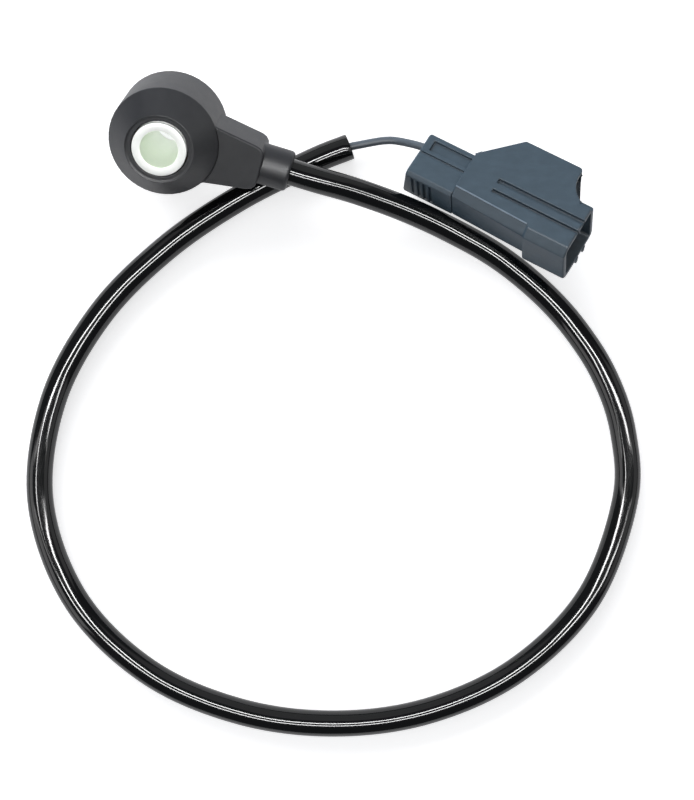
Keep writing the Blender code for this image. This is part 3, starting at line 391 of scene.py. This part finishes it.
# Protective sleeving. A round extruded tube pushed into the head's collar. It lies on the bench
# in one open loop, passes over its own far end, and is cut off square where the cable leaves it.
SLEEVE_RADIUS = 0.0030
SLEEVE_WALL = 0.0005
SLEEVE_MOUTH_DEPTH = 0.006
SLEEVE_EDGE = 0.00012
SLEEVE_SPACING = 0.0015
SLEEVE_SIDES = 40
CURVE_STEPS = 40
TUBE_CREASE = radians(50)
SLEEVE_ROUTE = (
    (0.01395, -0.00701, 0.01159), (0.02008, -0.00883, 0.01126), (0.0263, -0.01067, 0.01092),
    (0.0350, -0.0129, 0.0088), (0.04624, -0.01661, 0.0059), (0.05697, -0.02129, 0.00386),
    (0.06743, -0.02712, 0.0031), (0.07704, -0.03479, 0.00305), (0.0850, -0.04344, 0.00305),
    (0.09205, -0.05451, 0.00305), (0.09639, -0.06759, 0.00305), (0.0968, -0.0836, 0.00305),
    (0.0885, -0.1058, 0.00305), (0.0720, -0.1224, 0.00305),
    (0.0514, -0.1319, 0.00305), (0.0295, -0.1348, 0.00305), (0.0076, -0.1319, 0.00305),
    (-0.0133, -0.1227, 0.00305), (-0.0299, -0.1061, 0.00305), (-0.0379, -0.0836, 0.00305),
    (-0.0350, -0.0604, 0.00305), (-0.0243, -0.0407, 0.00305), (-0.0093, -0.0255, 0.00305),
    (0.0076, -0.0139, 0.00305), (0.0247, -0.0053, 0.00305), (0.0334, -0.0018, 0.00305),
)


def smooth_line(route, spacing):
    """Evenly spaced points on one smooth curve through the route's points."""
    stops = [Vector(stop) for stop in route]
    stops = [2 * stops[0] - stops[1], *stops, 2 * stops[-1] - stops[-2]]
    fine = []
    for p0, p1, p2, p3 in zip(stops, stops[1:], stops[2:], stops[3:]):
        for step in range(CURVE_STEPS):
            t = step / CURVE_STEPS
            fine.append(0.5 * (
                2 * p1 + (p2 - p0) * t + (2 * p0 - 5 * p1 + 4 * p2 - p3) * t**2
                + (3 * p1 - p0 - 3 * p2 + p3) * t**3))
    fine.append(stops[-2])
    line, walked = [fine[0]], 0.0
    for before, after in zip(fine, fine[1:]):
        walked += (after - before).length
        if walked >= spacing:
            line.append(after)
            walked = 0.0
    if walked > spacing / 2:
        line.append(fine[-1])
    else:
        line[-1] = fine[-1]
    return line


def swept(name, line, rings, sides):
    """A tube round a line. Each ring is a point's number in the line and a radius. The piece's
    UV map holds the distance round and along it, in metres."""
    neighbours = zip([line[0], *line], [*line[1:], line[-1]])
    ahead = [(after - before).normalized() for before, after in neighbours]
    across = [Vector((0, 0, 1))]
    for direction in ahead:
        last = across[-1]
        across.append((last - direction * last.dot(direction)).normalized())
    walked = [0.0]
    for before, after in zip(line, line[1:]):
        walked.append(walked[-1] + (after - before).length)
    bm = bmesh.new()
    uv_map = bm.loops.layers.uv.new("along")
    loops = []
    for number, radius in rings:
        up = across[number + 1]
        side = ahead[number].cross(up)
        turns = [2 * pi * step / sides for step in range(sides)]
        loops.append([
            bm.verts.new(line[number] + radius * (cos(t) * up + sin(t) * side)) for t in turns])
    for index, (first, second) in enumerate(zip(loops, loops[1:])):
        for step in range(sides):
            after = (step + 1) % sides
            face = bm.faces.new((first[step], second[step], second[after], first[after]))
            face.smooth = True
            near, far = rings[index][0], rings[index + 1][0]
            spots = ((step, near), (step, far), (step + 1, far), (step + 1, near))
            for corner, (turn, number) in zip(face.loops, spots):
                corner[uv_map].uv = (2 * pi * turn / sides * rings[index][1], walked[number])
    bm.faces.new(loops[0])
    bm.faces.new(reversed(loops[-1]))
    mesh = bpy.data.meshes.new(name)
    bmesh.ops.recalc_face_normals(bm, faces=bm.faces)
    bm.to_mesh(mesh)
    bm.free()
    mesh.set_sharp_from_angle(angle=TUBE_CREASE)
    obj = bpy.data.objects.new(name, mesh)
    scene.collection.objects.link(obj)
    return obj


sleeve_line = smooth_line(SLEEVE_ROUTE, SLEEVE_SPACING)
sleeve_end = sleeve_line[-1]
sleeve_line.insert(-1, sleeve_end + (sleeve_line[-2] - sleeve_end).normalized() * SLEEVE_EDGE)
last = len(sleeve_line) - 1
sleeve_bore = SLEEVE_RADIUS - SLEEVE_WALL
mouth_rings = round(SLEEVE_MOUTH_DEPTH / SLEEVE_SPACING)
sleeve = swept("glossy_sleeving", sleeve_line, [
    *((number, SLEEVE_RADIUS) for number in range(last)),
    (last, SLEEVE_RADIUS - SLEEVE_EDGE), (last, sleeve_bore + SLEEVE_EDGE),
    *((number, sleeve_bore) for number in range(last - 1, last - mouth_rings, -1)),
], SLEEVE_SIDES)

# Plasticised PVC, extruded: deep gloss black. Its wall wavers slightly along its length, which
# bends the lamps' thin reflections, and handling has left a faint haze on it.
pvc, tree, shader = started("extruded glossy PVC", IOR=1.53)
run = add_node(tree, "UVMap", {"uv_map": "along"}).outputs[0]
drawn = add_node(tree, "Mapping", None, {"Vector": run, "Scale": (110, 90, 1)}).outputs[0]
waver = add_node(tree, "TexNoise", None, {
    "Vector": drawn, "Scale": 1, "Detail": 0.5}).outputs["Fac"]
hazed = add_node(tree, "Mapping", None, {"Vector": run, "Scale": (900, 300, 1)}).outputs[0]
haze = add_node(tree, "TexNoise", None, {"Vector": hazed, "Scale": 1, "Detail": 4}).outputs["Fac"]
tone = add_node(tree, "Mix", {"data_type": "RGBA"}, {
    0: haze, 6: linear("#050607"), 7: linear("#0d0f11")}).outputs[2]
gloss = add_node(tree, "MapRange", None, {
    "Value": haze, "To Min": 0.08, "To Max": 0.12}).outputs[0]
wavered = add_node(tree, "Bump", None, {
    "Height": waver, "Strength": 0.5, "Distance": 0.0004}).outputs[0]
tree.links.new(tone, shader.inputs["Base Color"])
tree.links.new(gloss, shader.inputs["Roughness"])
tree.links.new(wavered, shader.inputs["Normal"])
coated(sleeve, pvc)
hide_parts("protective_sleeve")
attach(sleeve, "root")


# Connector's two mouldings. The housing carries the shroud, the side fin, the key grooves and
# the latch ribs, and the rear cover snaps into it and holds the seal and the cable.
CONNECTOR_PLACE = Vector((0.0492, -0.0062, 0.005576))
CONNECTOR_TURN = Matrix(((0.851091, 0.518782, -0.080679),
                         (-0.465959, 0.817189, 0.33924),
                         (0.241922, -0.251131, 0.937234)))
CONNECTOR = Matrix.Translation(CONNECTOR_PLACE) @ CONNECTOR_TURN.to_4x4()
CONNECTOR_HEADING = radians(28.7)
COVER_LENGTH = 0.0116
COVER_FRONT_WITHIN = 0.0001
COVER_FRONT_FACING = 0.95
SEATING_SLIDE = 0.00024
PARTING_START = (0.0121, -0.00372, 0.00680)
PARTING_END = (0.0303, -0.00430, 0.00680)
PARTING_RADIUS = 0.00018


def seated(piece):
    """Slides the cover's front face up to the housing, where the two touch on the real part."""
    along = CONNECTOR_TURN.col[0]
    pick(piece, "faces", lambda face, middle: face.normal.dot(along) > COVER_FRONT_FACING
         and abs((middle - CONNECTOR_PLACE).dot(along) - COVER_LENGTH) < COVER_FRONT_WITHIN)
    bpy.ops.transform.translate(value=along * SEATING_SLIDE)


connector_housing = dressed("connector_housing", "connector_body", MOULDED_EDGE)
rear_cover = dressed("connector_rear_cover", "connector_cover", MOULDED_EDGE, shaping=seated)

# The tool's two halves have left a fine raised line along the housing's upper edge.
line_start, line_end = Vector(PARTING_START), Vector(PARTING_END)
line_run = line_end - line_start
bpy.ops.object.select_all(action="DESELECT")
bpy.ops.mesh.primitive_cylinder_add(vertices=16, radius=PARTING_RADIUS, depth=line_run.length)
parting_line = added("connector_parting_line")
pick(parting_line, "faces", is_end)
bpy.ops.mesh.inset(thickness=PARTING_RADIUS / 2)
bpy.ops.object.mode_set(mode="OBJECT")
rounded(parting_line, PARTING_RADIUS / 3, angle=60)
laid(parting_line, CONNECTOR @ Matrix.Translation((line_start + line_end) / 2)
     @ line_run.to_track_quat("Z", "Y").to_matrix().to_4x4())
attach(parting_line, "root")

# Glass-filled polyester, injection moulded: blue-grey and satin, with faintly paler streaks where
# the glass fibres flowed. Its eroded grain is drawn 0.22 mm wide, coarser than the real one, so
# that it shows.
polyester, tree, shader = started("moulded glass-filled polyester", IOR=1.57)
place = add_node(tree, "TexCoord").outputs["Object"]
cloud = add_node(tree, "TexNoise", None, {
    "Vector": place, "Scale": 380, "Detail": 5, "Roughness": 0.6}).outputs["Fac"]
flowed = add_node(tree, "Mapping", None, {
    "Vector": place, "Rotation": (0, 0, CONNECTOR_HEADING), "Scale": (260, 900, 900)}).outputs[0]
flow = add_node(tree, "TexNoise", None, {"Vector": flowed, "Scale": 1, "Detail": 4}).outputs["Fac"]
grain = add_node(tree, "TexNoise", None, {
    "Vector": place, "Scale": 4600, "Detail": 2, "Roughness": 0.6}).outputs["Fac"]
mixed = add_node(tree, "Math", {"operation": "MULTIPLY"}, {0: cloud, 1: flow}).outputs[0]
spread = add_node(tree, "MapRange", None, {
    "Value": mixed, "From Min": 0.12, "From Max": 0.42}).outputs[0]
tone = add_node(tree, "Mix", {"data_type": "RGBA"}, {
    0: spread, 6: linear("#314452"), 7: linear("#384c5b")}).outputs[2]
sheen = add_node(tree, "MapRange", None, {
    "Value": cloud, "To Min": 0.42, "To Max": 0.56}).outputs[0]
grained = add_node(tree, "Bump", None, {
    "Height": grain, "Strength": 0.3, "Distance": 0.00004}).outputs[0]
tree.links.new(tone, shader.inputs["Base Color"])
tree.links.new(sheen, shader.inputs["Roughness"])
tree.links.new(grained, shader.inputs["Normal"])
coated(connector_housing, polyester)
coated(rear_cover, polyester)

# The parting line is painted pale, a painted highlight along the housing's upper edge.
highlight_painted_polyester = polyester.copy()
highlight_painted_polyester.name = "polyester painted pale as a highlight"
for mix in highlight_painted_polyester.node_tree.nodes:
    if mix.bl_idname == "ShaderNodeMix":
        # Paler tones: a painted highlight on the parting line.
        mix.inputs[6].default_value = linear("#66788a")
        mix.inputs[7].default_value = linear("#7c8d9c")
coated(parting_line, highlight_painted_polyester)

# Terminal lock. A small plate of the same polyester, pushed down over both blades to the mouth's
# floor.
# Its colour is painted darker, a painted shade deep in the mouth.
shade_painted_polyester = polyester.copy()
shade_painted_polyester.name = "polyester painted dark as shade"
for mix in shade_painted_polyester.node_tree.nodes:
    if mix.bl_idname == "ShaderNodeMix":
        # Darker tones: painted shade on the plate at the mouth's floor.
        mix.inputs[6].default_value = linear("#252b30")
        mix.inputs[7].default_value = linear("#31383e")
coated(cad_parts["terminal_lock"], shade_painted_polyester)

# Terminals. Two blades stamped and folded from copper alloy and tinned: bright soft silver with
# rolling lines along the strip.
tinned, tree, shader = started("stamped tinned copper alloy", Metallic=1.0, Roughness=0.3)
place = add_node(tree, "TexCoord").outputs["Object"]
rolled = add_node(tree, "Mapping", None, {
    "Vector": place, "Rotation": (0, 0, CONNECTOR_HEADING), "Scale": (400, 5200, 5200)}).outputs[0]
rolling = add_node(tree, "TexNoise", None, {
    "Vector": rolled, "Scale": 1, "Detail": 2}).outputs["Fac"]
tone = add_node(tree, "Mix", {"data_type": "RGBA"}, {
    0: rolling, 6: linear("#bebcb4"), 7: linear("#d5d3cd")}).outputs[2]
lined = add_node(tree, "Bump", None, {
    "Height": rolling, "Strength": 0.2, "Distance": 0.00002}).outputs[0]
tree.links.new(tone, shader.inputs["Base Color"])
tree.links.new(lined, shader.inputs["Normal"])
for node in ("signal_terminal", "return_terminal"):
    coated(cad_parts[node], tinned)

# Cable seal. Soft moulded silicone, ribbed, pushed over the cable inside the rear cover: pale,
# slightly translucent and dusty.
silicone, tree, shader = started("moulded silicone", Roughness=0.5, IOR=1.41)
shader.inputs["Subsurface Weight"].default_value = 0.15
shader.inputs["Subsurface Scale"].default_value = 0.001
place = add_node(tree, "TexCoord").outputs["Object"]
dust = add_node(tree, "TexNoise", None, {
    "Vector": place, "Scale": 2400, "Detail": 3}).outputs["Fac"]
tone = add_node(tree, "Mix", {"data_type": "RGBA"}, {
    0: dust, 6: linear("#cfd2cc"), 7: linear("#e0e2dd")}).outputs[2]
tree.links.new(tone, shader.inputs["Base Color"])
coated(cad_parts["cable_seal"], silicone)


# Signal cable. A thin jacketed two-core cable that comes out of the sleeving's cut end and
# arches over into the hole in the rear cover.
CABLE_RADIUS = 0.0009
CABLE_SPACING = 0.0004
CABLE_SIDES = 24
CABLE_ROUTE = (
    (0.0316, -0.0025, 0.00305), (0.0337, -0.0018, 0.0031), (0.0362, -0.0013, 0.0031),
    (0.0390, -0.0008, 0.0033), (0.0417, -0.0005, 0.0036), (0.0445, -0.0007, 0.0040),
    (0.0496, -0.00233, 0.00666), (0.05275, -0.00405, 0.00756), (0.06254, -0.00941, 0.01034),
)
cable_line = smooth_line(CABLE_ROUTE, CABLE_SPACING)
cable = swept("signal_cable_jacket", cable_line,
              [(number, CABLE_RADIUS) for number in range(len(cable_line))], CABLE_SIDES)

# Thermoplastic elastomer jacket, extruded: matt grey, with faint draw lines along it.
elastomer, tree, shader = started("extruded elastomer jacket", Roughness=0.5, IOR=1.5)
run = add_node(tree, "UVMap", {"uv_map": "along"}).outputs[0]
drawn = add_node(tree, "Mapping", None, {"Vector": run, "Scale": (5200, 260, 1)}).outputs[0]
lines = add_node(tree, "TexNoise", None, {"Vector": drawn, "Scale": 1, "Detail": 2}).outputs["Fac"]
tone = add_node(tree, "Mix", {"data_type": "RGBA"}, {
    0: lines, 6: linear("#49525c"), 7: linear("#5c6772")}).outputs[2]
lined = add_node(tree, "Bump", None, {
    "Height": lines, "Strength": 0.2, "Distance": 0.00003}).outputs[0]
tree.links.new(tone, shader.inputs["Base Color"])
tree.links.new(lined, shader.inputs["Normal"])
coated(cable, elastomer)
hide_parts("signal_cable")
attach(cable, "root")


# Studio. A white paper sweep under a ceiling with two rows of tubes, joined by a short cross
# row, which draw the thin lines on the sleeving. Soft light comes from behind, left and above,
# and a dim wall stands on the right.
FLOOR_SIZE = 40
PAPER = (0.85, 0.85, 0.87, 1)
PAPER_BOUNCE = (0.30, 0.31, 0.33, 1)
NEAR_GLOW = 0.66
FAR_GLOW = 1.0
GLOW_RISES = (0.4, 2.0)
MIRRORED_GLOW = 0.42
UNDER_HEAD = (-0.0085, 0.003, 0)
UNDER_HEAD_GLOW = 0.4
UNDER_HEAD_REACH = (0.006, 0.014)
bpy.ops.object.select_all(action="DESELECT")
bpy.ops.mesh.primitive_plane_add(size=FLOOR_SIZE)
floor = bpy.context.active_object
floor.name = "white_sweep"

# White paper. It takes the part's shadow, glows white to the camera and glows less in reflections.
# The glow is turned down round the spot under the head, a painted shadow there, and reaches full
# white far off. By diffuse light the paper counts as grey, which keeps the part's lower sides as
# dark as in the photograph.
paper = bpy.data.materials.new("white paper sweep")
paper.use_nodes = True
tree = paper.node_tree
tree.nodes.clear()
ray = add_node(tree, "LightPath")
mirrored = add_node(tree, "Math", {"operation": "MAXIMUM"}, {
    0: ray.outputs["Is Glossy Ray"], 1: ray.outputs["Is Transmission Ray"]}).outputs[0]
seen = add_node(tree, "Math", {"operation": "MAXIMUM"}, {
    0: ray.outputs["Is Camera Ray"], 1: mirrored}).outputs[0]
shade = add_node(tree, "Mix", {"data_type": "RGBA"}, {
    0: seen, 6: PAPER_BOUNCE, 7: PAPER}).outputs[2]
matt = add_node(tree, "BsdfDiffuse", None, {"Color": shade}).outputs[0]
spot = add_node(tree, "TexCoord").outputs["Object"]
from_head = add_node(tree, "VectorMath", {"operation": "DISTANCE"}, {
    0: spot, 1: UNDER_HEAD}).outputs["Value"]
# Painted shadow: the paper's glow is turned down round the spot under the head.
clear_of_head = add_node(tree, "MapRange", {"interpolation_type": "SMOOTHSTEP"}, {
    "Value": from_head, "From Min": UNDER_HEAD_REACH[0], "From Max": UNDER_HEAD_REACH[1],
    "To Min": UNDER_HEAD_GLOW}).outputs[0]
far_off = add_node(tree, "MapRange", {"interpolation_type": "SMOOTHSTEP"}, {
    "Value": from_head, "From Min": GLOW_RISES[0], "From Max": GLOW_RISES[1],
    "To Min": NEAR_GLOW, "To Max": FAR_GLOW}).outputs[0]
to_this_ray = add_node(tree, "MapRange", None, {
    "Value": ray.outputs["Is Camera Ray"], "To Min": MIRRORED_GLOW, "To Max": far_off}).outputs[0]
shaded = add_node(tree, "Math", {"operation": "MULTIPLY"}, {
    0: clear_of_head, 1: to_this_ray}).outputs[0]
strength = add_node(tree, "Math", {"operation": "MULTIPLY"}, {0: seen, 1: shaded}).outputs[0]
glow = add_node(tree, "Emission", None, {"Color": (1, 1, 1, 1), "Strength": strength}).outputs[0]
both = add_node(tree, "AddShader", None, {0: matt, 1: glow}).outputs[0]
add_node(tree, "OutputMaterial", None, {"Surface": both})
floor.data.materials.append(paper)


def lamp(name, place, aim, size, power, glossy=True, diffuse=True):
    """A rectangular lamp turned to a point. Its size is across and up, in metres."""
    data = bpy.data.lights.new(name, "AREA")
    data.shape = "RECTANGLE"
    data.size, data.size_y = size
    data.energy = power
    made = bpy.data.objects.new(name, data)
    scene.collection.objects.link(made)
    made.location = place
    made.rotation_euler = (Vector(aim) - Vector(place)).to_track_quat("-Z", "Y").to_euler()
    made.visible_camera = False
    made.visible_glossy, made.visible_diffuse = glossy, diffuse


# The rows hang at the ceiling, and the dim far lamps stand in for the rest of the rows. These and
# the cross row hang a little higher, so that no two lamps overlap in one plane.
CEILING = 0.75
BENCH_MIDDLE = (0.03, -0.06, 0)
for name, x, y, above, across, along, radiance in (
    ("near row", 0.0, -0.28, 0.0, 0.63, 0.05, 30.0),
    ("far row", 0.0, -0.026, 0.0, 0.63, 0.045, 40.0),
    ("near row's right end", 0.46, -0.28, 0.0, 0.29, 0.05, 24.0),
    ("far row's right end", 0.46, -0.026, 0.0, 0.29, 0.045, 26.0),
    ("cross row", -0.29, -0.10, 0.01, 0.05, 0.15, 30.0),
    ("near row's far lamps", 0.0, -0.28, 0.02, 2.0, 0.05, 4.0),
    ("far row's far lamps", 0.0, -0.026, 0.02, 2.0, 0.05, 4.0),
):
    power = pi * across * along * radiance
    lamp(name, (x, y, CEILING + above), (x, y, 0), (across, along), power, diffuse=False)
lamp("key soft lamp", (-0.50, 1.20, 0.60), BENCH_MIDDLE, (1.6, 1.2), 27.0, glossy=False)
lamp("top soft lamp", (-0.20, -0.20, 1.20), BENCH_MIDDLE, (1.5, 1.5), 3.2, glossy=False)
lamp("back wall", (0.03, 1.40, 0.95), BENCH_MIDDLE, (2.4, 1.8), 5.0)
lamp("left wall", (-1.10, -0.45, 0.50), (0.0, -0.03, 0), (1.0, 0.7), 3.4)
lamp("right wall", (1.20, -0.10, 0.55), BENCH_MIDDLE, (1.2, 0.8), 1.6, diffuse=False)

# The room round the bench is dim and slightly cool. The camera sees it as white.
ROOM_GLOW = 0.12
ROOM_TINT = (0.92, 0.96, 1.0, 1)
room = bpy.data.worlds.new("dim studio room")
room.use_nodes = True
tree = room.node_tree
ray = add_node(tree, "LightPath")
strength = add_node(tree, "MapRange", None, {
    "Value": ray.outputs["Is Camera Ray"], "To Min": ROOM_GLOW, "To Max": 1.0}).outputs[0]
tone = add_node(tree, "Mix", {"data_type": "RGBA"}, {
    0: ray.outputs["Is Camera Ray"], 6: ROOM_TINT, 7: (1, 1, 1, 1)}).outputs[2]
tree.links.new(strength, tree.nodes["Background"].inputs["Strength"])
tree.links.new(tone, tree.nodes["Background"].inputs["Color"])
scene.world = room
